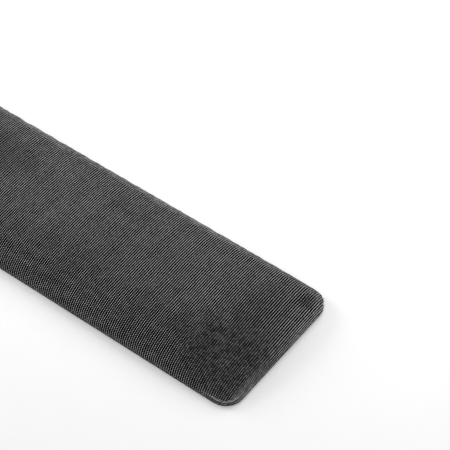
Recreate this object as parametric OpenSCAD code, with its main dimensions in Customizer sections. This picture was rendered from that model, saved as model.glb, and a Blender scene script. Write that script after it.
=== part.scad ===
// Keyboard wrist rest: a long, slim memory-foam pad under a woven cover, on a
// thin anti-slip base.
// Origin: centre of the underside, on the desk. +X along the length,
// +Y towards the keyboard, +Z up. Millimetres.

/* [Pad] */
// Length of the pad, along the keyboard
rest_length = 440; // [300:5:500]
// Depth of the pad, from the user's side to the keyboard's side
rest_depth = 92; // [80:1:110]
// Overall height from the desk to the crown line
rest_height = 13.6; // [12:0.2:22]

/* [Crown] */
// How far in front of the middle the crown line lies
crown_offset = 5; // [0:1:12]
// How much the top would fall from the crown line by the user's side
front_drop = 1.2; // [0.4:0.1:3]
// How much the top would fall from the crown line by the keyboard's side
back_drop = 5.5; // [2:0.1:6]
// How much the top would fall by the two short ends
end_drop = 5.5; // [2:0.1:6]
// How far from each short end the top starts to fall towards it
end_reach = 62; // [40:2:90]

/* [Edges] */
// Radius of the four corners, seen from above
corner_radius = 11; // [8:0.5:16]
// How far back the long, soft roll along the user's side reaches
front_roll = 18; // [10:1:22]
// How far in the tighter roll along the keyboard's side reaches
back_roll = 8; // [4:0.5:14]
// How far in the roll at the two short ends reaches
end_roll = 6; // [4:0.5:12]

/* [Layers] */
// Thickness of the anti-slip base sheet
base_thickness = 1.5; // [1:0.1:3]
// Thickness of the adhesive film between the base sheet and the pad
film_thickness = 0.2; // [0.1:0.05:0.4]
// How far the adhesive film stops short of the base sheet's rim
film_inset = 0.3; // [0.2:0.05:0.6]
// Thickness of the woven cover
cover_thickness = 0.8; // [0.5:0.1:1.2]

/* [Smoothness] */
// Levels that the pad's form is drawn through, from the base up to the crown line
level_steps = 18; // [12:1:22]
// Steps round each corner
corner_steps = 12; // [8:1:14]

/* [Hidden] */

film_bottom = base_thickness;
pad_bottom = film_bottom + film_thickness;
pad_height = rest_height - pad_bottom;
crown_y = -crown_offset;
slice = 0.01;       // thickness of the sheets that the pad's hull is drawn through
cut_below = 1;      // how far the cover's hollow runs out below its open underside
last_level = 0.994; // the top level, as a share of the pad's height

// Points of a rounded rectangle from (x0, y0) to (x1, y1), anticlockwise, with one
// radius at the two front corners and another at the two back corners.
function arc(cx, cy, r, start) =
    [for (i = [0 : corner_steps])
        let (a = start + 90 * i / corner_steps) [cx + r * cos(a), cy + r * sin(a)]];
function outline(x0, x1, y0, y1, front_r, back_r) = concat(
    arc(x0 + front_r, y0 + front_r, front_r, 180),
    arc(x1 - front_r, y0 + front_r, front_r, 270),
    arc(x1 - back_r, y1 - back_r, back_r, 0),
    arc(x0 + back_r, y1 - back_r, back_r, 90));

// Height of the pad above its bottom, at a distance in from one side: the side's roll
// times a crown that falls by drop over the last part of the way, called reach.
function rise(in, roll, drop, reach, power) =
    (pad_height - drop * pow(max(0, 1 - in / reach), power))
    * sqrt(1 - pow(max(0, 1 - in / roll), 2));

// How far in from a side the pad reaches a height, found by halving the way.
function stand_in(height, roll, drop, reach, power, low = 0, high = 100, halvings = 24) =
    let (middle = (low + high) / 2)
        halvings == 0 ? middle
        : rise(middle, roll, drop, reach, power) < height
            ? stand_in(height, roll, drop, reach, power, middle, high, halvings - 1)
            : stand_in(height, roll, drop, reach, power, low, middle, halvings - 1);

// Outline of the pad at a height above its bottom. The corners widen with the crown.
function pad_outline(height, inset) =
    let (front_in = stand_in(height, front_roll, front_drop, rest_depth / 2 + crown_y, 2.5),
         back_in = stand_in(height, back_roll, back_drop, rest_depth / 2 - crown_y, 2.5),
         end_in = stand_in(height, end_roll, end_drop, end_reach, 3),
         y0 = -rest_depth / 2 + front_in + inset,
         y1 = rest_depth / 2 - back_in - inset,
         r = min(0.45 * (y1 - y0), corner_radius + max(0, end_in - end_roll) - inset))
    outline(-rest_length / 2 + end_in + inset, rest_length / 2 - end_in - inset,
            y0, y1, r, r);

// One thin level of the pad. turn runs from 0 at the base to 90 at the crown line.
module level(turn, inset) {
    share = last_level * sin(turn);
    translate([0, 0, pad_bottom + (pad_height - inset) * share])
        linear_extrude(height = slice) polygon(pad_outline(pad_height * share, inset));
}

// The pad's closed form, drawn in from the outer surface by inset.
module pad_form(inset) {
    hull() for (i = [0 : level_steps]) level(90 * i / level_steps, inset);
}

// A flat sheet with the plan of the whole rest, drawn in from its rim by inset.
module sheet(thickness, inset) {
    r = corner_radius - inset;
    across = rest_length - 2 * inset;
    deep = rest_depth - 2 * inset;
    linear_extrude(height = thickness) {
        square([across - 2 * r, deep], center = true);
        square([across, deep - 2 * r], center = true);
        for (x = [-1, 1], y = [-1, 1])
            translate([x * (across / 2 - r), y * (deep / 2 - r)]) circle(r = r, $fn = 96);
    }
}

// Woven cover: one skin over the top and down all four sides. Its cut lower edge
// stands on the adhesive film, all the way round.
module fabric_cover() {
    color([0.17, 0.17, 0.18])
        difference() {
            pad_form(0);
            pad_form(cover_thickness);
            translate([0, 0, pad_bottom - cut_below])
                linear_extrude(height = cut_below + slice)
                    polygon(pad_outline(0, cover_thickness));
        }
}

// Memory foam slab that fills the cover and lies on the adhesive film.
module foam_core() {
    color([0.86, 0.84, 0.78]) pad_form(cover_thickness);
}

// Adhesive film that holds the foam and the cover's edge down on the base sheet.
module adhesive_film() {
    color([0.78, 0.72, 0.52])
        translate([0, 0, film_bottom]) sheet(film_thickness, film_inset);
}

// Anti-slip rubber sheet under the whole pad. Its flat underside lies on the desk.
module anti_slip_base() {
    color([0.05, 0.05, 0.055]) sheet(base_thickness, 0);
}

fabric_cover();
foam_core();
adhesive_film();
anti_slip_base();
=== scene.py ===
"""Looks of the keyboard wrist rest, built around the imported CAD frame. Metres, +Z up."""

import math

import bpy
import numpy as np
from mathutils import Matrix, Vector


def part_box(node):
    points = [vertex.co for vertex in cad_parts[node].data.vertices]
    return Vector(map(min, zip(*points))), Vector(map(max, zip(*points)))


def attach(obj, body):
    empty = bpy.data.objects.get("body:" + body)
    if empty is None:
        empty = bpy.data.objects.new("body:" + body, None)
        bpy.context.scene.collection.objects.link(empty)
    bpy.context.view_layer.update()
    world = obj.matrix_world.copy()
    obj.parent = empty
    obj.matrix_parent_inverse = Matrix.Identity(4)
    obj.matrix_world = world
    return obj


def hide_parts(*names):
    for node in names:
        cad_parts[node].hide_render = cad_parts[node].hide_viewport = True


MM = 0.001

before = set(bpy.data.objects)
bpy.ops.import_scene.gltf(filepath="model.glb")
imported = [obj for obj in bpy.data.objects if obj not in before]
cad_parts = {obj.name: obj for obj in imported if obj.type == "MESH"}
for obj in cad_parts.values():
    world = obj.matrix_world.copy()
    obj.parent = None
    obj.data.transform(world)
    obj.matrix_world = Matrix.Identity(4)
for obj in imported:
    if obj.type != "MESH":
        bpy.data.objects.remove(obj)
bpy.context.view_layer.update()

# ---------------------------------------------------------------- the pad's dimensions
COVER_LOW, COVER_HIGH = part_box("fabric_cover")
BASE_LOW, BASE_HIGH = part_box("anti_slip_base")
HALF_LENGTH = COVER_HIGH.x
HALF_DEPTH = COVER_HIGH.y
PAD_BOTTOM = COVER_LOW.z           # where the cover's cut edge stands
PAD_TOP = 13.6 * MM                # the crown line
CROWN_Y = -5.0 * MM                # where the crown line lies
FRONT_DROP = 1.2 * MM              # how far the top falls towards each side
BACK_DROP = 5.5 * MM
END_DROP = 5.5 * MM
CROWN_POWER = 2.5                  # how late the top starts to fall, to the front and back
END_POWER = 3                      # the same, towards an end
END_REACH = 62.0 * MM              # where the top starts to fall towards an end
CORNER_RADIUS = 11.0 * MM          # in plan, at the base
TOP_CORNER_RADIUS = 9.0 * MM       # in plan, where the rolls begin
FRONT_ROLL = 18.0 * MM             # widths of the rolled edges
BACK_ROLL = 8.0 * MM
END_ROLL = 6.0 * MM
COVER_THICKNESS = 0.8 * MM
FOAM_CLEARANCE = 0.25 * MM         # between the foam and the inside of the cover

# ---------------------------------------------------------------- the weave
RIB_PITCH = 1.317 * MM             # between the warp ribs, along the rest
FLOAT_PITCH = 1.04 * MM            # between one rib's light floats, across the rest
RIB_SKEW = 0.029                   # how far the ribs lean off square, as a slope
ROW_SKEW = 0.028                   # how far the rows of floats lean off square
RIB_RELIEF = 0.14 * MM             # a rib's crest above and groove below the middle surface
RIB_WANDER = 0.25                  # how far a rib strays, as a share of the pitch
RIB_EDGE = 0.86                    # where a rib turns light, as its height from 0 to 1


# ================================================================ node helper
class Field:
    """A value in a node tree, so that a material's maths reads as plain expressions."""

    def __init__(self, tree, socket):
        self.tree, self.socket = tree, socket

    def _math(self, operation, *others, clamp=False):
        node = self.tree.nodes.new("ShaderNodeMath")
        node.operation, node.use_clamp = operation, clamp
        for place, value in zip(node.inputs, (self,) + others):
            if isinstance(value, Field):
                self.tree.links.new(value.socket, place)
            else:
                place.default_value = value
        return Field(self.tree, node.outputs[0])

    def __add__(self, other):
        return self._math("ADD", other)

    def __sub__(self, other):
        return self._math("SUBTRACT", other)

    def __mul__(self, other):
        return self._math("MULTIPLY", other)

    def __truediv__(self, other):
        return self._math("DIVIDE", other)

    __radd__, __rmul__ = __add__, __mul__

    def __rsub__(self, other):
        return self * -1.0 + other

    def floor(self):
        return self._math("FLOOR")

    def fract(self):
        return self._math("FRACT")

    def wave(self):
        """A cosine wave from 0 to 1, at its crest at 0 and once round for each whole number."""
        return (self * 2 * math.pi)._math("COSINE") * 0.5 + 0.5

    def arch(self):
        """Half a cosine: 1 at 0, and 0 at -0.5 and 0.5."""
        return (self * math.pi)._math("COSINE")

    def size(self):
        return self._math("ABSOLUTE")

    def parity(self):
        """0 for an even whole number and 1 for an odd one."""
        return (self * 0.5).fract() * 2.0

    def clamp(self):
        return self._math("ADD", 0.0, clamp=True)

    def ramp(self, low, high, to_low=0.0, to_high=1.0):
        """Smoothly from to_low at low to to_high at high."""
        node = self.tree.nodes.new("ShaderNodeMapRange")
        node.interpolation_type = "SMOOTHSTEP"
        self.tree.links.new(self.socket, node.inputs["Value"])
        names = ("From Min", "From Max", "To Min", "To Max")
        for name, value in zip(names, (low, high, to_low, to_high)):
            node.inputs[name].default_value = value
        return Field(self.tree, node.outputs["Result"])


class Material:
    """A new node material with one Principled shader and short ways to fill it."""

    def __init__(self, name):
        self.data = bpy.data.materials.new(name)
        self.data.use_nodes = True
        self.tree = self.data.node_tree
        self.shader = self.tree.nodes["Principled BSDF"]

    def _parts(self, socket):
        parts = self.tree.nodes.new("ShaderNodeSeparateXYZ")
        self.tree.links.new(socket, parts.inputs[0])
        return [Field(self.tree, parts.outputs[i]) for i in range(3)]

    def attribute(self, name):
        """The three parts of a mesh attribute."""
        node = self.tree.nodes.new("ShaderNodeAttribute")
        node.attribute_name = name
        return self._parts(node.outputs["Vector"])

    def position(self):
        """The x, y and z of the surface point in the piece's own space."""
        return self._parts(self.tree.nodes.new("ShaderNodeTexCoord").outputs["Object"])

    def combine(self, x, y, z=0.0):
        node = self.tree.nodes.new("ShaderNodeCombineXYZ")
        for place, value in zip(node.inputs, (x, y, z)):
            if isinstance(value, Field):
                self.tree.links.new(value.socket, place)
            else:
                place.default_value = value
        return node.outputs[0]

    def noise(self, vector, scale=1.0, detail=2.0):
        node = self.tree.nodes.new("ShaderNodeTexNoise")
        node.inputs["Scale"].default_value = scale
        node.inputs["Detail"].default_value = detail
        node.inputs["Roughness"].default_value = 0.5
        self.tree.links.new(vector, node.inputs["Vector"])
        return Field(self.tree, node.outputs[0])

    def cloth_noise(self, u, v, cells, detail=2.0):
        """Noise over the flat cloth, with so many cells a metre along and across the rest."""
        return self.noise(self.combine(u * cells[0], v * cells[1]), 1.0, detail)

    def cells(self, vector, scale=1.0):
        node = self.tree.nodes.new("ShaderNodeTexVoronoi")
        node.inputs["Scale"].default_value = scale
        self.tree.links.new(vector, node.inputs["Vector"])
        return Field(self.tree, node.outputs["Distance"])

    def random(self, vector):
        """A value from 0 to 1 that is the same all over one cell of the vector."""
        node = self.tree.nodes.new("ShaderNodeTexWhiteNoise")
        node.noise_dimensions = "2D"
        self.tree.links.new(vector, node.inputs["Vector"])
        return Field(self.tree, node.outputs["Value"])

    def blend(self, share, first, second):
        """A colour between two colours, each a tuple or a socket."""
        node = self.tree.nodes.new("ShaderNodeMix")
        node.data_type = "RGBA"
        self.tree.links.new(share.socket, node.inputs["Factor"])
        for place, value in ((node.inputs[6], first), (node.inputs[7], second)):
            if isinstance(value, tuple):
                place.default_value = (*value, 1.0)
            else:
                self.tree.links.new(value, place)
        return node.outputs[2]

    def set(self, name, value):
        """Fills one input of the shader."""
        place = self.shader.inputs[name]
        if isinstance(value, Field):
            self.tree.links.new(value.socket, place)
        elif isinstance(value, bpy.types.NodeSocket):
            self.tree.links.new(value, place)
        else:
            place.default_value = value

    def bump(self, height, distance, strength=1.0):
        node = self.tree.nodes.new("ShaderNodeBump")
        node.inputs["Distance"].default_value = distance
        node.inputs["Strength"].default_value = strength
        self.tree.links.new(height.socket, node.inputs["Height"])
        self.tree.links.new(node.outputs["Normal"], self.shader.inputs["Normal"])


# ================================================================ the cloth's material
RIB_LIGHT = (0.84, 0.84, 0.848)
RIB_DARK = (0.21, 0.21, 0.212)
GROOVE = (0.0015, 0.0015, 0.0016)
# painted shade for the hem band at the corners
HEM_SHADE = (0.012, 0.012, 0.012)
CUT_FIBRE = (0.30, 0.30, 0.30)
SHEEN_TINT = (0.8, 0.8, 0.82, 1.0)

# Cells of noise a metre, along and across the rest.
WANDER_CELLS = (28, 28)
RIB_TONE_CELLS = (500, 25)
PATCH_CELLS = (110, 110)
BROAD_CELLS = (22, 30)
FIBRE_CELLS = (7000, 1800)
BROKEN_CELLS = (1500, 1500)

# How much each thing changes the yarn's tone, round the middle tone.
MIDDLE_TONE = 0.30
FLOAT_TONE = 0.4
RIB_TONE = 0.5
PATCH_TONE = 0.35
BROAD_TONE = 0.4

# Places on the flat cloth are in mm, from the middle of the rest.
# Painted shade in spots over the top and in the hollows by the back corners: middle and half-widths,
# and the light left.
PAINTED_SHADE_SPOTS = (
    (213, 33, 4.5, 5.5, 0.55), (-213, 33, 4.5, 5.5, 0.6), (4, 15, 26, 13, 0.72),
    (-120, -6, 30, 14, 0.8), (203, 12, 20, 20, 0.76),
)
SHADE_PATCH_PLACE = (205, -23)         # painted shade: a patch at the front right of the top, where the ribs are darkened and lose contrast
SHADE_PATCH_SPREAD = (760, 400)        # squares of its half-widths
END_TURN = (217, 220)              # where the cloth turns down over an end
BACK_TURN = (37.5, 43)             # where the cloth turns down over the back


def weave_lattice(m, u, v):
    """Height across a rib, height along a float, and one random value for each float."""
    wander = m.cloth_noise(u, v, WANDER_CELLS, 1.0) - 0.5
    across = (u + v * RIB_SKEW) / RIB_PITCH + wander * RIB_WANDER
    rib = across.floor()
    along = (v + u * ROW_SKEW) / FLOAT_PITCH + rib.parity() * 0.5
    rounded = (across.fract() - 0.5).arch()
    crossing = (along.fract() - 0.5).wave()
    return rounded, crossing, m.random(m.combine(rib, along.floor()))


def shade_patch_outside(x, y, patch):
    """0 in the middle of the patch of painted shade, where the ribs are darkened, and 1 outside it."""
    off_x, off_y = x - SHADE_PATCH_PLACE[0], y - SHADE_PATCH_PLACE[1]
    distance = off_x * off_x / SHADE_PATCH_SPREAD[0] + off_y * off_y / SHADE_PATCH_SPREAD[1]
    return (distance + (patch - 0.5) * 0.9).ramp(0.2, 2.6)


def end_wall(yarn, u, v, x, y, fibres):
    """Round the front of an end the ribs lie side by side and only the rows of floats still show."""
    rows = ((v + u * ROW_SKEW) / FLOAT_PITCH).wave()
    turned = x.size().ramp(*END_TURN) * y.ramp(-20, -8, 1.0, 0.0)
    return yarn + turned * (rows * rows * 0.46 + fibres * 0.03 - yarn)


def painted_light_and_shade(yarn, x, y, patch):
    """The yarn's light, darkened in the spots of painted shade, with a painted highlight on the ends
    and painted light that is stronger at the front than at the back.
    """
    # painted shade: each spot darkens the yarn towards its share
    for middle_x, middle_y, half_x, half_y, share in PAINTED_SHADE_SPOTS:
        off_x, off_y = (x - middle_x) / half_x, (y - middle_y) / half_y
        yarn = yarn * (off_x * off_x + off_y * off_y + (patch - 0.5)).ramp(0.0, 2.0, share, 1.0)
    # painted highlight on the ends, and painted light stronger at the front than at the back
    return yarn * (1.0 + x.size().ramp(208, 213) * 0.12) * y.ramp(-30, 12, 1.12, 0.9)


def back_edge_sheen(yarn, x, y, patch, rounded, shade):
    """The ribs lose their contrast where the cloth turns over the back edge, and a painted sheen
    lights the band to a pale, even tone.
    """
    # painted sheen: a pale, even band where the cloth turns over the back edge
    sheen_band = (y + (patch - 0.5) * 2).ramp(*BACK_TURN) * x.ramp(110, 200, 0.85, 0.35)
    return yarn + sheen_band * (0.07 + shade * 0.12 + rounded * 0.08 - yarn)


def cut_edge(m, cloth, u, v, x, y, above):
    """The cloth with painted shade on its hem band at the corners, under the bulge, and pale broken
    fibres at the cut.
    """
    corner = x.size().ramp(196, 214) * y.size().ramp(30, 44)
    broken = m.cloth_noise(u, v, BROKEN_CELLS).ramp(0.40, 0.62)
    # painted shade on the hem band at the corners, under the bulge above it
    hem = above.ramp(1.1, 1.4, 1.0, 0.0) * corner
    fray = above.ramp(0.9, 1.5) * above.ramp(1.9, 2.7, 1.0, 0.0) * corner * broken
    cut = above.ramp(0.2, 0.7, 1.0, 0.0) * broken * 0.35
    return m.blend((fray + cut).clamp(), m.blend(hem, cloth, HEM_SHADE), CUT_FIBRE)


def woven_fabric():
    """Charcoal plain weave: heavy ribs of light floats, staggered rib by rib, over black grooves."""
    m = Material("woven_fabric")
    u, v, edge = m.attribute("weave")
    x, y, above = u / MM, v / MM, edge / MM
    rounded, crossing, shade = weave_lattice(m, u, v)
    rib_tone = m.cloth_noise(u, v, RIB_TONE_CELLS)
    patch = m.cloth_noise(u, v, PATCH_CELLS, 3.0)
    broad = m.cloth_noise(u, v, BROAD_CELLS)
    fibres = m.cloth_noise(u, v, FIBRE_CELLS)

    # a float is light in its middle, and on the rear half the ribs are light between floats too
    float_base = y.ramp(-34, 12, 0.03, 0.36)
    peak = crossing * crossing * crossing
    yarn = rounded.ramp(RIB_EDGE, 1.0) * (float_base + (1.0 - float_base) * peak)
    yarn = end_wall(yarn, u, v, x, y, fibres)
    yarn = painted_light_and_shade(yarn, x, y, patch)
    yarn = back_edge_sheen(yarn, x, y, patch, rounded, shade)
    unshaded = shade_patch_outside(x, y, patch)
    # painted shade: in the front right patch the ribs are darkened, with a faint random grain
    patchy = yarn * (0.32 + unshaded * 0.68) + (1.0 - unshaded) * shade * 0.04

    tone = shade * FLOAT_TONE + (rib_tone - 0.5) * RIB_TONE
    tone = tone + (patch - 0.5) * PATCH_TONE + (broad - 0.5) * BROAD_TONE
    light = m.blend((tone + MIDDLE_TONE).clamp(), RIB_DARK, RIB_LIGHT)
    cloth = m.blend((patchy * (0.85 + fibres * 0.3)).clamp(), GROOVE, light)
    m.set("Base Color", cut_edge(m, cloth, u, v, x, y, above))
    m.set("Roughness", 0.90 - yarn * 0.35)
    m.set("Specular IOR Level", yarn * 0.5)
    m.set("Sheen Weight", 0.06)
    m.set("Sheen Roughness", 0.3)
    m.set("Sheen Tint", SHEEN_TINT)
    m.bump(rounded * (0.6 + crossing * 0.4) + fibres * 0.12, 0.22 * MM, 0.6)
    return m.data


# ================================================================ the other materials
def loose_fibres():
    """Pale polyester fibre, a little different from strand to strand."""
    m = Material("loose_fibres")
    strand = m.noise(m.combine(*m.position()), 900, 1.0)
    m.set("Base Color", m.blend(strand.ramp(0.35, 0.65), (0.10, 0.10, 0.10), (0.42, 0.42, 0.42)))
    m.set("Roughness", strand.ramp(0.3, 0.7, 0.5, 0.75))
    m.bump(strand, 0.02 * MM, 0.3)
    return m.data


def memory_foam():
    """Pale open-cell foam: fine pores, a little yellowed in patches."""
    m = Material("memory_foam")
    place = m.combine(*m.position())
    pores = m.cells(place, 1400)
    patch = m.noise(place, 40, 3.0)
    m.set("Base Color", m.blend(patch.ramp(0.35, 0.7), (0.78, 0.74, 0.64), (0.66, 0.60, 0.47)))
    m.set("Roughness", 0.94 - pores * 0.1)
    m.bump(pores, 0.3 * MM, 0.8)
    return m.data


def adhesive():
    """Amber transfer film with faint roller streaks."""
    m = Material("adhesive")
    x, y, z = m.position()
    streak = m.noise(m.combine(x * 30, y * 900, z), 1.0, 3.0)
    m.set("Base Color", m.blend(streak, (0.46, 0.36, 0.18), (0.30, 0.23, 0.12)))
    m.set("Roughness", streak.ramp(0.3, 0.7, 0.25, 0.5))
    m.bump(streak, 0.05 * MM, 0.4)
    return m.data


def base_rubber():
    """Matt black rubber with a fine pebbled skin and greyer rubbed spots."""
    m = Material("base_rubber")
    place = m.combine(*m.position())
    skin = m.noise(place, 2600, 2.0)
    patchy = m.noise(place, 55, 5.0)
    tones = (0.009, 0.009, 0.010), (0.019, 0.019, 0.020)
    m.set("Base Color", m.blend(patchy.ramp(0.4, 0.75), *tones))
    m.set("Roughness", patchy.ramp(0.3, 0.7, 0.80, 0.60))
    m.set("Specular IOR Level", 0.25)
    m.bump(skin, 0.08 * MM, 0.6)
    return m.data


def pale_floor():
    """Matt pale studio floor with a very faint tooth."""
    m = Material("studio_floor")
    tooth = m.noise(m.combine(*m.position()), 60, 3.0)
    m.set("Base Color", m.blend(tooth, (0.745, 0.745, 0.745), (0.765, 0.765, 0.765)))
    m.set("Roughness", 0.85)
    m.set("Specular IOR Level", 0.1)
    return m.data


# ================================================================ the pad's form
FLAT_RINGS = 5                     # grid lines between the core and the roll
ROLL_RINGS = 15                    # grid lines down the roll
ROLL_CROWDING = 1.4                # over 1, the grid lines lie closer together towards the base
RINGS = FLAT_RINGS + ROLL_RINGS
ROW_STEP = 2.0 * MM


class PadGrid:
    """A grid of points over the pad's skin: a core rectangle with rings of points round it.

    place is each point's place in plan and its height, out its outward direction in plan
    (zero in the core) and roll its height from 0 at the base to 1 where the roll begins.
    """

    def __init__(self, column_step, row_step):
        core_x = HALF_LENGTH - END_ROLL - TOP_CORNER_RADIUS
        core_front = -HALF_DEPTH + FRONT_ROLL + TOP_CORNER_RADIUS
        core_back = HALF_DEPTH - BACK_ROLL - TOP_CORNER_RADIUS
        self.core_columns = round(2 * core_x / column_step)
        self.core_rows = round((core_back - core_front) / row_step)
        self.columns = self.core_columns + 2 * RINGS
        self.rows = self.core_rows + 2 * RINGS
        self.place = np.zeros((self.columns + 1, self.rows + 1, 3))
        self.out = np.zeros((self.columns + 1, self.rows + 1, 2))
        self.roll = np.ones((self.columns + 1, self.rows + 1))
        self.core = core_x, core_front, core_back
        self._fill()

    def _outline(self, ring):
        """A ring's end, front and back limits, its corner radius, and how far up the roll it lies."""
        core_x, core_front, core_back = self.core
        if ring <= FLAT_RINGS:
            reach = TOP_CORNER_RADIUS * ring / FLAT_RINGS
            return core_x + reach, core_front - reach, core_back + reach, reach, 1.0
        turn = math.pi / 2 * (1 - (ring - FLAT_RINGS) / ROLL_RINGS) ** ROLL_CROWDING
        lean = 1 - math.cos(turn)
        radius = CORNER_RADIUS - (CORNER_RADIUS - TOP_CORNER_RADIUS) * lean
        return (HALF_LENGTH - END_ROLL * lean, -HALF_DEPTH + FRONT_ROLL * lean,
                HALF_DEPTH - BACK_ROLL * lean, radius, math.sin(turn))

    def _fill(self):
        outlines = [self._outline(ring) for ring in range(RINGS + 1)]
        for i in range(self.columns + 1):
            past_x = max(0, RINGS - i, i - (self.columns - RINGS))
            side_x = -1 if i < RINGS else 1
            share_x = min(1, max(0, (i - RINGS) / self.core_columns))
            for j in range(self.rows + 1):
                past_y = max(0, RINGS - j, j - (self.rows - RINGS))
                side_y = -1 if j < RINGS else 1
                share_y = min(1, max(0, (j - RINGS) / self.core_rows))
                end, front, back, radius, roll = outlines[max(past_x, past_y)]
                x = (2 * share_x - 1) * (end - radius)
                y = (front + radius) + share_y * (back - front - 2 * radius)
                if past_x or past_y:
                    angle = self._corner_angle(past_x, past_y)
                    out_x, out_y = side_x * math.cos(angle), side_y * math.sin(angle)
                    x, y = x + radius * out_x, y + radius * out_y
                    self.out[i, j] = out_x, out_y
                self.place[i, j, :2] = x, y
                self.roll[i, j] = roll
        self.set_heights()

    @staticmethod
    def _corner_angle(past_x, past_y):
        """The outward direction of a ring's point: evenly spread round a corner, 0 towards the end."""
        if not past_x or not past_y:
            return math.atan2(past_y, past_x)
        ratio = min(past_x, past_y) / max(past_x, past_y)
        return math.pi / 4 * (ratio if past_x >= past_y else 2 - ratio)

    def set_heights(self):
        """Puts every point at the height that the pad has at its place in plan."""
        x, y = self.place[..., 0], self.place[..., 1]
        self.place[..., 2] = PAD_BOTTOM + (top_height(x, y) - PAD_BOTTOM) * self.roll

    def ring_points(self, ring):
        """The grid points on the ring that is this many lines in from the rim."""
        first_i, last_i = ring, self.columns - ring
        first_j, last_j = ring, self.rows - ring
        for i in range(first_i, last_i + 1):
            yield i, first_j
            yield i, last_j
        for j in range(first_j + 1, last_j):
            yield first_i, j
            yield last_i, j

    def weave(self):
        """Each point's place on the flat cloth, and its distance up from the cloth's cut edge."""
        extra = np.zeros(self.place.shape[:2])
        run = np.zeros(self.place.shape[:2])
        for ring in range(RINGS - 1, -1, -1):
            low, high_i, high_j = ring + 1, self.columns - ring - 1, self.rows - ring - 1
            for i, j in self.ring_points(ring):
                inner = min(max(i, low), high_i), min(max(j, low), high_j)
                step = self.place[i, j] - self.place[inner]
                plan, whole = math.hypot(step[0], step[1]), float(np.linalg.norm(step))
                extra[i, j] = extra[inner] + whole - plan
                run[i, j] = run[inner] + whole
        edge = np.full(self.place.shape[:2], 1.0)
        for ring in range(RINGS):
            for i, j in self.ring_points(ring):
                rim = self._nearest_rim(i, self.columns, ring), self._nearest_rim(j, self.rows, ring)
                edge[i, j] = run[rim] - run[i, j]
        flat = np.zeros_like(self.place)
        flat[..., 0] = self.place[..., 0] + extra * self.out[..., 0]
        flat[..., 1] = self.place[..., 1] + extra * self.out[..., 1]
        flat[..., 2] = edge
        return flat

    @staticmethod
    def _nearest_rim(index, last, ring):
        """Along one axis, the rim's index straight out from a point of the ring."""
        if index < ring + 1:
            return 0
        return last if index > last - ring - 1 else index


def skin_normals(place):
    """Unit normals of a grid of points, outwards."""
    normal = np.cross(np.gradient(place, axis=0), np.gradient(place, axis=1))
    return normal / np.maximum(np.linalg.norm(normal, axis=2, keepdims=True), 1e-12)


def top_height(x, y):
    """Height of the crowned top over the plan, before the rolls."""
    forward = np.maximum(0, CROWN_Y - y) / (HALF_DEPTH + CROWN_Y)
    backward = np.maximum(0, y - CROWN_Y) / (HALF_DEPTH - CROWN_Y)
    outward = np.maximum(0, np.abs(x) - HALF_LENGTH + END_REACH) / END_REACH
    across = FRONT_DROP * forward ** CROWN_POWER + BACK_DROP * backward ** CROWN_POWER
    return PAD_TOP - np.hypot(across, END_DROP * outward ** END_POWER)


def bump_shape(x, y, middle_x, middle_y, radius_x, radius_y):
    """A smooth round bump of height 1."""
    return np.exp(-((x - middle_x) / radius_x) ** 2 - ((y - middle_y) / radius_y) ** 2)


def ridge_shape(height, middle, half_width):
    """A smooth ridge of height 1 along the skin, at one height above the base."""
    return np.exp(-((height - middle) / half_width) ** 2)


# Soft hollows that use has left in the foam: middle, half-widths and depth, in mm.
HOLLOWS = (
    (211, -31, 25, 18, 1.6), (172, -8, 34, 17, 0.5), (211, 32.5, 3.6, 4.5, 1.3),
    (96, 8, 26, 13, 0.25), (40, -12, 30, 16, 0.3), (2, 18, 14, 12, 0.4), (-60, 4, 34, 15, 0.4),
    (-130, -10, 30, 15, 0.55), (-204, 22, 8, 9, 0.4), (-190, -20, 20, 12, 0.45),
)

# Short puckers that run in from the corners: from, to, half-width and depth, in mm.
PUCKERS = (
    (218, 41, 209, 31, 1.6, 0.7), (219, 33, 210, 27, 1.3, 0.45), (212, 45, 205, 35, 1.4, 0.45),
    (214, -36, 204, -27, 1.6, 0.45), (-214, 37, -205, 27, 1.6, 0.6), (-215, -35, -206, -26, 1.5, 0.5),
    (-217, 29, -210, 24, 1.3, 0.35), (-209, -40, -203, -33, 1.4, 0.35),
)

# Slight random swellings and dips all over the top, in mm.
RIPPLES = 260
RIPPLE_SEED = 5
RIPPLE_X = (-212, 212)
RIPPLE_Y = (-34, 38)
RIPPLE_RADIUS = (5, 16)
RIPPLE_STRETCH = (0.5, 1.0)        # the radius across the rest, as a share of that along it
RIPPLE_HEIGHT = 0.09

# The corners, in mm: the cloth has more to take up round a corner than along a side.
GATHER_DEPTH = 0.22
GATHER_WAVES = 17                  # in a full turn, so about four on each corner
GATHER_PHASE_X = (0.7, 1.9)        # each corner's waves start at their own phase
GATHER_PHASE_Y = (0.4, 2.6)
SOFT_FADE = 1 / 4                  # the lowest part of the roll, where all this fades out
HEM_BULGE = (0.45, 1.9, 0.9)       # outwards above the hem: size, height and half-width
HEM_PRESS = (0.25, 0.4, 0.6)       # inwards at the hem


def pucker_shape(x, y, start_x, start_y, end_x, end_y, width):
    """A groove of depth 1 along a line, tapered at both ends."""
    run_x, run_y = end_x - start_x, end_y - start_y
    length = math.hypot(run_x, run_y)
    along = ((x - start_x) * run_x + (y - start_y) * run_y) / length
    aside = ((x - start_x) * run_y - (y - start_y) * run_x) / length
    past = np.maximum(0, np.abs(along - length / 2) - length / 2 + width)
    return np.exp(-(aside / width) ** 2 - (past / width) ** 2)


def ripples(x, y):
    """The sum of all the slight swellings and dips, in mm."""
    rng = np.random.default_rng(RIPPLE_SEED)
    height = np.zeros_like(x)
    for _ in range(RIPPLES):
        middle_x, middle_y = rng.uniform(*RIPPLE_X), rng.uniform(*RIPPLE_Y)
        radius = rng.uniform(*RIPPLE_RADIUS)
        swell = rng.uniform(-RIPPLE_HEIGHT, RIPPLE_HEIGHT)
        across = radius * rng.uniform(*RIPPLE_STRETCH)
        height += swell * bump_shape(x, y, middle_x, middle_y, radius, across)
    return height


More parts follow.
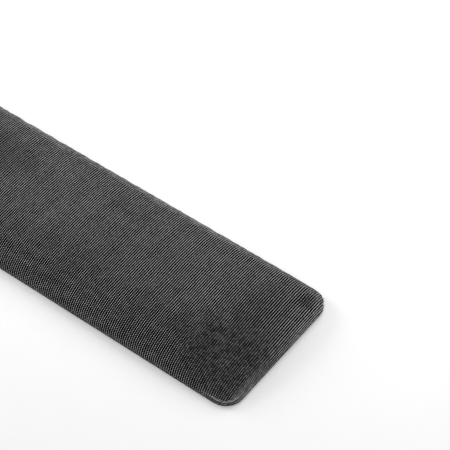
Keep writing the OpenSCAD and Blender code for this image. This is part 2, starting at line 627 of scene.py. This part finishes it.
def soft_form(grid):
    """Hollows in the top and gathers round the corners, as heights along the skin's normal."""
    x, y = grid.place[..., 0] / MM, grid.place[..., 1] / MM
    depth = np.zeros_like(x)
    for middle_x, middle_y, wide, deep, fall in HOLLOWS:
        depth -= fall * bump_shape(x, y, middle_x, middle_y, wide, deep)
    for start_x, start_y, end_x, end_y, width, fall in PUCKERS:
        depth -= fall * pucker_shape(x, y, start_x, start_y, end_x, end_y, width)
    depth += ripples(x, y)

    out_x, out_y = np.abs(grid.out[..., 0]), np.abs(grid.out[..., 1])
    corner = np.clip(4 * (out_x * out_y) ** 2, 0, 1)
    angle = np.arctan2(out_y, np.maximum(out_x, 1e-9))
    phase = np.where(x > 0, *GATHER_PHASE_X) + np.where(y > 0, *GATHER_PHASE_Y)
    down = np.clip((1 - grid.roll) * 1.1, 0, 1)
    depth += GATHER_DEPTH * corner * np.sin(angle * GATHER_WAVES + phase) * np.sin(math.pi * down)
    depth *= np.clip(grid.roll / SOFT_FADE, 0, 1)

    # the hem itself is pressed flat at the corners, and the cloth bulges just above it
    height = (grid.place[..., 2] - PAD_BOTTOM) / MM
    for sign, (size, middle, half_width) in ((1, HEM_BULGE), (-1, HEM_PRESS)):
        depth += sign * size * np.sqrt(corner) * ridge_shape(height, middle, half_width)
    return depth * MM


# ================================================================ cloth simulation
SIM_STEP = 5.0 * MM                # the grid that is simulated
SIM_FRAMES = 20
SIM_CAP = 0.7 * MM                 # how far a point may move
HELD_FROM = 0.85                   # the cloth is held fast from this share of the roll downwards
HELD_ON_TOP = 0.25                 # how firmly the rest is held, on the top
HELD_DOWN = 0.5                    # and how much more by the end of the roll
CLOTH_SETTINGS = {
    "quality": 6, "mass": 0.2, "tension_stiffness": 18, "compression_stiffness": 18,
    "shear_stiffness": 6, "bending_stiffness": 0.05, "shrink_min": -0.004,
    "use_pressure": True, "uniform_pressure_force": 1.2,
    "vertex_group_mass": "held", "pin_stiffness": 0.8,
}


def settle(grid_step):
    """Slack cloth settled over the pad: how far each point of a coarse grid moves."""
    grid = PadGrid(grid_step, grid_step)
    start = grid.place + skin_normals(grid.place) * soft_form(grid)[..., None]
    mesh = build_mesh("settling_cloth", start, grid_faces(grid.columns + 1, grid.rows + 1))
    piece = bpy.data.objects.new("settling_cloth", mesh)
    bpy.context.scene.collection.objects.link(piece)
    held = piece.vertex_groups.new(name="held")
    for index, low in enumerate((1 - grid.roll).ravel()):
        weight = 1.0 if low > HELD_FROM else HELD_ON_TOP + HELD_DOWN * float(low)
        held.add([index], weight, "REPLACE")
    cloth = piece.modifiers.new("cloth", "CLOTH")
    for name, value in CLOTH_SETTINGS.items():
        setattr(cloth.settings, name, value)
    cloth.settings.effector_weights.gravity = 0.0
    cloth.collision_settings.use_collision = False
    cloth.point_cache.frame_start, cloth.point_cache.frame_end = 1, SIM_FRAMES
    scene = bpy.context.scene
    for number in range(1, SIM_FRAMES + 1):
        scene.frame_set(number)
    settled = piece.evaluated_get(bpy.context.evaluated_depsgraph_get()).to_mesh()
    end = np.empty(start.size)
    settled.vertices.foreach_get("co", end)
    scene.frame_set(1)
    bpy.data.objects.remove(piece, do_unlink=True)
    moved = end.reshape(start.shape) - start
    reach = np.linalg.norm(moved, axis=2, keepdims=True)
    return grid, moved * np.minimum(1, SIM_CAP / np.maximum(reach, 1e-9))


def coarse_steps(core, fine_core):
    """Where each line of a finer grid lies between the lines of a coarse one."""
    index = np.arange(fine_core + 2 * RINGS + 1)
    inside = RINGS + (index - RINGS) * core / fine_core
    outside = np.where(index < RINGS, index, index - fine_core + core)
    return np.where((index < RINGS) | (index > RINGS + fine_core), outside, inside)


def spread(grid, moved, fine):
    """A coarse grid's moves, spread over a finer grid of the same pad."""
    at_i = coarse_steps(grid.core_columns, fine.core_columns)
    at_j = coarse_steps(grid.core_rows, fine.core_rows)
    i = np.minimum(at_i.astype(int), grid.columns - 1)
    j = np.minimum(at_j.astype(int), grid.rows - 1)
    share_i, share_j = (at_i - i)[:, None, None], (at_j - j)[None, :, None]
    low = moved[i][:, j] * (1 - share_j) + moved[i][:, j + 1] * share_j
    high = moved[i + 1][:, j] * (1 - share_j) + moved[i + 1][:, j + 1] * share_j
    return low * (1 - share_i) + high * share_i


# ================================================================ mesh helpers
def add_piece(name, mesh, material, slot, *nodes):
    """Puts a mesh in the scene as a piece of the object."""
    piece = bpy.data.objects.new(name, mesh)
    bpy.context.scene.collection.objects.link(piece)
    mesh.materials.append(material)
    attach(piece, "root")
    if nodes:
        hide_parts(*nodes)


def grid_faces(columns, rows, first=0):
    """Quads between the points of a grid, facing up."""
    index = np.arange(columns * rows).reshape(columns, rows) + first
    corners = [index[:-1, :-1], index[1:, :-1], index[1:, 1:], index[:-1, 1:]]
    return np.stack(corners, -1).reshape(-1, 4)


def build_mesh(name, points, faces, weave=None, smooth=True):
    """A mesh, with each point's place on the flat cloth where that is given."""
    mesh = bpy.data.meshes.new(name)
    faces = [list(map(int, face)) for face in faces]
    mesh.from_pydata(np.asarray(points).reshape(-1, 3).tolist(), [], faces)
    mesh.polygons.foreach_set("use_smooth", [smooth] * len(mesh.polygons))
    if weave is not None:
        layer = mesh.attributes.new("weave", "FLOAT_VECTOR", "POINT")
        layer.data.foreach_set("vector", weave.astype(np.float32).ravel())
    mesh.update()
    return mesh


def rim_loop(columns, rows):
    """Indices round a grid's rim, anticlockwise."""
    index = np.arange((columns + 1) * (rows + 1)).reshape(columns + 1, rows + 1)
    return np.concatenate([index[:-1, 0], index[-1, :-1], index[:0:-1, -1], index[0, :0:-1]])


# ================================================================ cover and foam
SQUARE_FROM = 6.0 * MM             # the grid turns from the ribs' lean to square over this length
RIB_END = 206.0 * MM               # where the ribs' relief ends, and over what length it fades
RIB_END_FADE = 8.0 * MM
RIB_BACK = 37.0 * MM               # where it is lowered by the back edge
RIB_BACK_FADE = 3.0 * MM
RIB_BACK_LOSS = 0.7
RIB_ROLL_FADE = 1 / 3              # the lowest part of the roll, where it fades to the cut edge
FOAM_STEP = 1.6 * MM


def settled_skin(grid, moves, depth=0.0):
    """The grid's points at a depth under the finished pad's skin, with its hollows and settling."""
    skin = grid.place + skin_normals(grid.place) * (soft_form(grid) - depth)[..., None]
    if moves is not None:
        skin += spread(*moves, grid)
    skin[..., 2] = np.maximum(skin[..., 2], PAD_BOTTOM)
    return skin


def rib_relief(grid, cloth_x):
    """How far the ribs rise over the skin and the grooves lie under it."""
    x, y = np.abs(grid.place[..., 0]), grid.place[..., 1]
    keep = np.clip((RIB_END - x) / RIB_END_FADE, 0, 1) * np.clip(grid.roll / RIB_ROLL_FADE, 0, 1)
    keep *= 1 - RIB_BACK_LOSS * np.clip((y - RIB_BACK) / RIB_BACK_FADE, 0, 1)
    return RIB_RELIEF * keep * np.cos(2 * math.pi * cloth_x / RIB_PITCH + math.pi)


def make_cover(moves):
    """The woven cover: an outer and an inner skin, joined round the cut edge."""
    grid = PadGrid(RIB_PITCH / 2, ROW_STEP)
    flat = grid.weave()
    # the grid's columns follow the ribs, a crest and a groove by turns
    lean = flat[..., 1] * RIB_SKEW
    length_left = HALF_LENGTH - CORNER_RADIUS - np.abs(grid.place[..., 0])
    shift = lean * np.clip(length_left / SQUARE_FROM, 0, 1)
    grid.place[..., 0] -= shift
    grid.set_heights()
    flat[..., 0] -= shift
    skin = settled_skin(grid, moves)
    outer = skin + skin_normals(skin) * rib_relief(grid, flat[..., 0] + lean)[..., None]
    inner = settled_skin(grid, moves, COVER_THICKNESS)
    columns, rows = grid.columns + 1, grid.rows + 1
    count = columns * rows
    # the inner quads face inwards and are split along the same diagonal as the foam's
    under = grid_faces(columns, rows, count)[:, [0, 3, 2, 1]]
    rim = rim_loop(grid.columns, grid.rows)
    after = np.roll(rim, -1)
    wall = np.stack([rim, rim + count, after + count, after], -1)
    points = np.concatenate([outer.reshape(-1, 3), inner.reshape(-1, 3)])
    faces = np.concatenate([grid_faces(columns, rows), under, wall])
    weave = np.concatenate([flat.reshape(-1, 3)] * 2)
    mesh = build_mesh("fabric_cover_skin", points, faces, weave)
    add_piece("woven_cover", mesh, woven_fabric(), "woven_fabric", "fabric_cover")


def make_foam(moves):
    """The foam slab, flat underneath, a little smaller than the inside of the cover."""
    grid = PadGrid(FOAM_STEP, ROW_STEP)
    points = settled_skin(grid, moves, COVER_THICKNESS + FOAM_CLEARANCE)
    underside = rim_loop(grid.columns, grid.rows)[::-1]
    faces = grid_faces(grid.columns + 1, grid.rows + 1).tolist() + [underside.tolist()]
    mesh = build_mesh("foam_slab", points, faces)
    add_piece("foam_slab", mesh, memory_foam(), "memory_foam", "foam_core")


# ================================================================ base sheet
GRIP_PITCH = 4.0 * MM
GRIP_RADIUS = 1.35 * MM
GRIP_DEPTH = 0.45 * MM
GRIP_MARGIN = 6.0 * MM             # plain rubber round the field of cups
GRIP_TAPER = 0.7                   # a cup's floor, as a share of its lip
GRIP_SIDES = 8
GRIP_COLUMNS = int((2 * HALF_LENGTH - 2 * GRIP_MARGIN) / GRIP_PITCH)
GRIP_ROWS = int((2 * HALF_DEPTH - 2 * GRIP_MARGIN) / GRIP_PITCH)
RIM_ROUND = 0.35 * MM              # the rounding of the sheet's upper and lower rim
RIM_SHOULDER = 0.3                 # where the rounding's middle point lies, as a share of it
CORNER_CUPS = 3                    # pitches of the field's rim that go round a corner


def grip_place(i, j):
    """The place in plan of a corner between the grip field's squares."""
    return (i - GRIP_COLUMNS / 2) * GRIP_PITCH, (j - GRIP_ROWS / 2) * GRIP_PITCH


def outline_place(x, y, inset):
    """The point of the sheet's rounded outline that stands for a point of the grip field's rim."""
    half_x, half_y, radius = HALF_LENGTH - inset, HALF_DEPTH - inset, CORNER_RADIUS - inset
    field_x, field_y = GRIP_COLUMNS * GRIP_PITCH / 2, GRIP_ROWS * GRIP_PITCH / 2
    on_end, on_side = abs(abs(x) - field_x) < 1e-7, abs(abs(y) - field_y) < 1e-7
    side_x, side_y = math.copysign(1, x), math.copysign(1, y)
    turn = CORNER_CUPS * GRIP_PITCH
    if on_side and abs(x) < field_x - turn:
        return x * (half_x - radius) / (field_x - turn), side_y * half_y
    if on_end and abs(y) < field_y - turn:
        return side_x * half_x, y * (half_y - radius) / (field_y - turn)
    share = (field_x - abs(x)) / turn if on_side else (field_y - abs(y)) / turn
    angle = math.pi / 4 * (1 + share) if on_side else math.pi / 4 * (1 - share)
    return (side_x * (half_x - radius + radius * math.cos(angle)),
            side_y * (half_y - radius + radius * math.sin(angle)))


class SheetMesh:
    """The points and faces of the base sheet as they are put together."""

    def __init__(self):
        self.points, self.faces, self.nodes = [], [], {}

    def add(self, x, y, z):
        self.points.append((x, y, z))
        return len(self.points) - 1

    def node(self, i, j):
        """The shared point at a corner between the grip field's squares."""
        if (i, j) not in self.nodes:
            self.nodes[i, j] = self.add(*grip_place(i, j), BASE_LOW.z)
        return self.nodes[i, j]

    def circle(self, middle, radius, z):
        """Points round a circle, anticlockwise from +x."""
        angles = [2 * math.pi * k / GRIP_SIDES for k in range(GRIP_SIDES)]
        return [self.add(middle[0] + radius * math.cos(angle), middle[1] + radius * math.sin(angle), z)
                for angle in angles]

    def add_cup(self, i, j):
        """One square of the underside with a round grip cup in it."""
        middle = grip_place(i + 0.5, j + 0.5)
        lip = self.circle(middle, GRIP_RADIUS, BASE_LOW.z)
        cup = self.circle(middle, GRIP_TAPER * GRIP_RADIUS, BASE_LOW.z + GRIP_DEPTH)
        for k in range(GRIP_SIDES):
            following = (k + 1) % GRIP_SIDES
            self.faces.append((lip[following], lip[k], cup[k], cup[following]))
        corners = [self.node(i + 1, j + 1), self.node(i, j + 1), self.node(i, j), self.node(i + 1, j)]
        for k, corner in enumerate(corners):
            # the land between the square's corner and its part of the lip
            first, middle_lip, last = lip[2 * k], lip[2 * k + 1], lip[(2 * k + 2) % GRIP_SIDES]
            self.faces.append((corner, first, middle_lip))
            self.faces.append((corner, middle_lip, last))
            self.faces.append((corner, last, corners[(k + 1) % 4]))
        self.faces.append(tuple(cup[::-1]))

    def join(self, loop, ring):
        """Quads between two loops of as many points, and the second loop."""
        for k in range(len(ring)):
            following = (k + 1) % len(ring)
            self.faces.append((loop[k], loop[following], ring[following], ring[k]))
        return ring


def make_base():
    """The rubber sheet: rounded rim, flat top, and a field of round grip cups underneath."""
    sheet = SheetMesh()
    for i in range(GRIP_COLUMNS):
        for j in range(GRIP_ROWS):
            sheet.add_cup(i, j)
    rim = [(i, 0) for i in range(GRIP_COLUMNS)] + [(GRIP_COLUMNS, j) for j in range(GRIP_ROWS)]
    rim += [(i, GRIP_ROWS) for i in range(GRIP_COLUMNS, 0, -1)]
    rim += [(0, j) for j in range(GRIP_ROWS, 0, -1)]
    loop = [sheet.node(i, j) for i, j in rim]
    height = BASE_HIGH.z - BASE_LOW.z
    shoulder = RIM_ROUND * RIM_SHOULDER
    profile = [(RIM_ROUND, 0.0), (shoulder, shoulder), (0.0, RIM_ROUND),
               (0.0, height - RIM_ROUND), (shoulder, height - shoulder), (RIM_ROUND, height)]
    for inset, z in profile:
        places = [outline_place(*grip_place(i, j), inset) for i, j in rim]
        loop = sheet.join(loop, [sheet.add(x, y, BASE_LOW.z + z) for x, y in places])
    top = sheet.join(loop, [sheet.add(*grip_place(i, j), BASE_HIGH.z) for i, j in rim])
    sheet.faces.append(tuple(top))
    mesh = build_mesh("grip_sheet", sheet.points, sheet.faces, smooth=False)
    add_piece("grip_base_sheet", mesh, base_rubber(), "base_rubber", "anti_slip_base")


# ================================================================ frayed edge
FIBRES_PER_MM = 0.9
CORNER_FIBRES = 3.0                # how many times more fibres stand out round a corner
FIBRE_SEED = 11
FIBRE_RADIUS = 0.035 * MM
FIBRE_TAPER = 0.6                  # how much of the radius is lost by the tip
FIBRE_SEGMENTS = 4
FIBRE_SIDES = 3
FIBRE_LENGTH = (0.5, 1.5)          # mm
FOOT_OUT = (0.05, 0.12)            # how far out of the cut edge a fibre starts, in mm
FOOT_UP = (0.05, 0.9)              # how far up the edge, in mm
FIBRE_SAG = 0.9 * MM               # how far below the cut edge a fibre may hang
FIBRE_ASIDE = np.array([0.3, 0.2, 0.93])   # mostly up, where fibres seldom point, to cross them with


def make_frayed_edge():
    """Loose fibre ends that stand out of the cloth's cut edge, thickest round the corners."""
    grid = PadGrid(5 * MM, 5 * MM)
    rim = rim_loop(grid.columns, grid.rows)
    loop, out = grid.place.reshape(-1, 3)[rim], grid.out.reshape(-1, 2)[rim]
    rng = np.random.default_rng(FIBRE_SEED)
    points, faces = [], []
    for start, end, direction, ahead in zip(loop, np.roll(loop, -1, 0), out, np.roll(out, -1, 0)):
        length = np.linalg.norm(end - start) / MM
        corner = abs(direction[0] * direction[1]) > 0.02
        number = rng.poisson(length * FIBRES_PER_MM * (CORNER_FIBRES if corner else 1.0))
        for _ in range(number):
            share = rng.random()
            foot = start + (end - start) * share
            away = direction + (ahead - direction) * share
            foot = foot + np.array([*away, 0]) * rng.uniform(*FOOT_OUT) * MM
            foot[2] += rng.uniform(*FOOT_UP) * MM
            add_fibre(points, faces, foot, away, rng)
    mesh = build_mesh("edge_fibres", points, faces)
    add_piece("frayed_cut_edge", mesh, loose_fibres(), "woven_fabric")


def unit(vector):
    return vector / np.linalg.norm(vector)


def add_fibre(points, faces, foot, away, rng):
    """One fibre: a thin three-sided strand that curls as it goes."""
    side = np.array([-away[1], away[0], 0.0])
    heading = np.array([*away, 0.0]) * rng.uniform(0.2, 0.9) + side * rng.uniform(-1.2, 1.2)
    heading[2] = rng.uniform(-0.5, 0.7)
    heading = unit(heading)
    curl = rng.normal(0, 0.5, 3)
    step = rng.uniform(*FIBRE_LENGTH) * MM / FIBRE_SEGMENTS
    first = len(points)
    spot = foot.copy()
    for k in range(FIBRE_SEGMENTS + 1):
        radius = FIBRE_RADIUS * (1 - FIBRE_TAPER * k / FIBRE_SEGMENTS)
        cross = unit(np.cross(heading, FIBRE_ASIDE))
        other = np.cross(heading, cross)
        for corner in range(FIBRE_SIDES):
            angle = 2 * math.pi * corner / FIBRE_SIDES
            points.append(tuple(spot + (cross * math.cos(angle) + other * math.sin(angle)) * radius))
        heading = unit(heading + curl / FIBRE_SEGMENTS)
        spot = spot + heading * step
        spot[2] = max(spot[2], PAD_BOTTOM - FIBRE_SAG)
    for k in range(FIBRE_SEGMENTS):
        for corner in range(FIBRE_SIDES):
            here = first + FIBRE_SIDES * k + corner
            beside = first + FIBRE_SIDES * k + (corner + 1) % FIBRE_SIDES
            faces.append((here, beside, beside + FIBRE_SIDES, here + FIBRE_SIDES))
    faces.append((first + 2, first + 1, first))
    last = first + FIBRE_SIDES * FIBRE_SEGMENTS
    faces.append((last, last + 1, last + 2))


# ================================================================ studio
VIEW_AZIMUTH = 37.56               # degrees, from the front towards the right end
VIEW_ELEVATION = 49.14
VIEW_ROLL = -0.22
CAMERA_PLACE = Vector((0.5339, -0.4577, 0.7484))
LENS_MM = 139.1
SENSOR_MM = 36.0

LIGHT_TARGET = Vector((0.11, 0.0, 0.01))
# Name, bearing and height in degrees, distance and size in metres, power in watts.
SOFT_LIGHTS = (
    ("rear_light", 178, 40, 0.38, 0.26, 1.15),
    ("left_light", 275, 21, 0.9, 0.4, 5.2),
    ("front_light", 325, 12, 0.9, 0.4, 3.6),
    ("end_light", 85, 9, 0.9, 0.3, 5.0),
)
SURROUND_LIGHT = 0.56
FLOOR_SIZE = 8.0
FLOOR_GAP = 0.02 * MM              # keeps the floor from touching the underside


def bearing(azimuth, elevation):
    """The direction towards a bearing, from the front to the right, and a height, in degrees."""
    turn, rise = math.radians(azimuth), math.radians(elevation)
    return Vector((math.sin(turn) * math.cos(rise), -math.cos(turn) * math.cos(rise), math.sin(rise)))


def studio_camera():
    """The camera, at the reference view."""
    back = bearing(VIEW_AZIMUTH, VIEW_ELEVATION)
    turn = math.radians(VIEW_AZIMUTH)
    level = Vector((math.cos(turn), math.sin(turn), 0.0))
    right = Matrix.Rotation(math.radians(VIEW_ROLL), 3, back) @ level
    up = back.cross(right)
    data = bpy.data.cameras.new("studio_camera")
    data.lens, data.sensor_width = LENS_MM, SENSOR_MM
    data.clip_start, data.clip_end = 0.01, 20.0
    camera = bpy.data.objects.new("studio_camera", data)
    turned = Matrix((right, up, back)).transposed().to_4x4()
    camera.matrix_world = Matrix.Translation(CAMERA_PLACE) @ turned
    bpy.context.scene.collection.objects.link(camera)
    bpy.context.scene.camera = camera


def soft_light(name, azimuth, elevation, distance, size, power):
    """A square soft box that faces the middle of the view and isn't seen itself."""
    away = bearing(azimuth, elevation)
    data = bpy.data.lights.new(name, "AREA")
    data.shape, data.size, data.energy = "SQUARE", size, power
    light = bpy.data.objects.new(name, data)
    light.location = LIGHT_TARGET + away * distance
    light.visible_camera = False
    light.rotation_euler = (-away).to_track_quat("-Z", "Y").to_euler()
    bpy.context.scene.collection.objects.link(light)


def studio():
    """Pale floor, white surroundings, and soft boxes behind, left, in front and by the right end."""
    bpy.ops.mesh.primitive_plane_add(size=FLOOR_SIZE, location=(0, 0, -FLOOR_GAP))
    floor = bpy.context.object
    floor.name = "studio_floor"
    floor.data.materials.append(pale_floor())
    world = bpy.data.worlds.new("studio_world")
    world.use_nodes = True
    surround = world.node_tree.nodes["Background"]
    surround.inputs["Color"].default_value = (1, 1, 1, 1)
    surround.inputs["Strength"].default_value = SURROUND_LIGHT
    bpy.context.scene.world = world
    for light in SOFT_LIGHTS:
        soft_light(*light)
    bpy.context.scene.view_settings.view_transform = "Standard"


# ================================================================ build
MOVES = settle(SIM_STEP)
make_cover(MOVES)
make_foam(MOVES)
make_base()
make_frayed_edge()
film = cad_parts["adhesive_film"]
film.data.materials.clear()
film.data.materials.append(adhesive())
studio_camera()
studio()
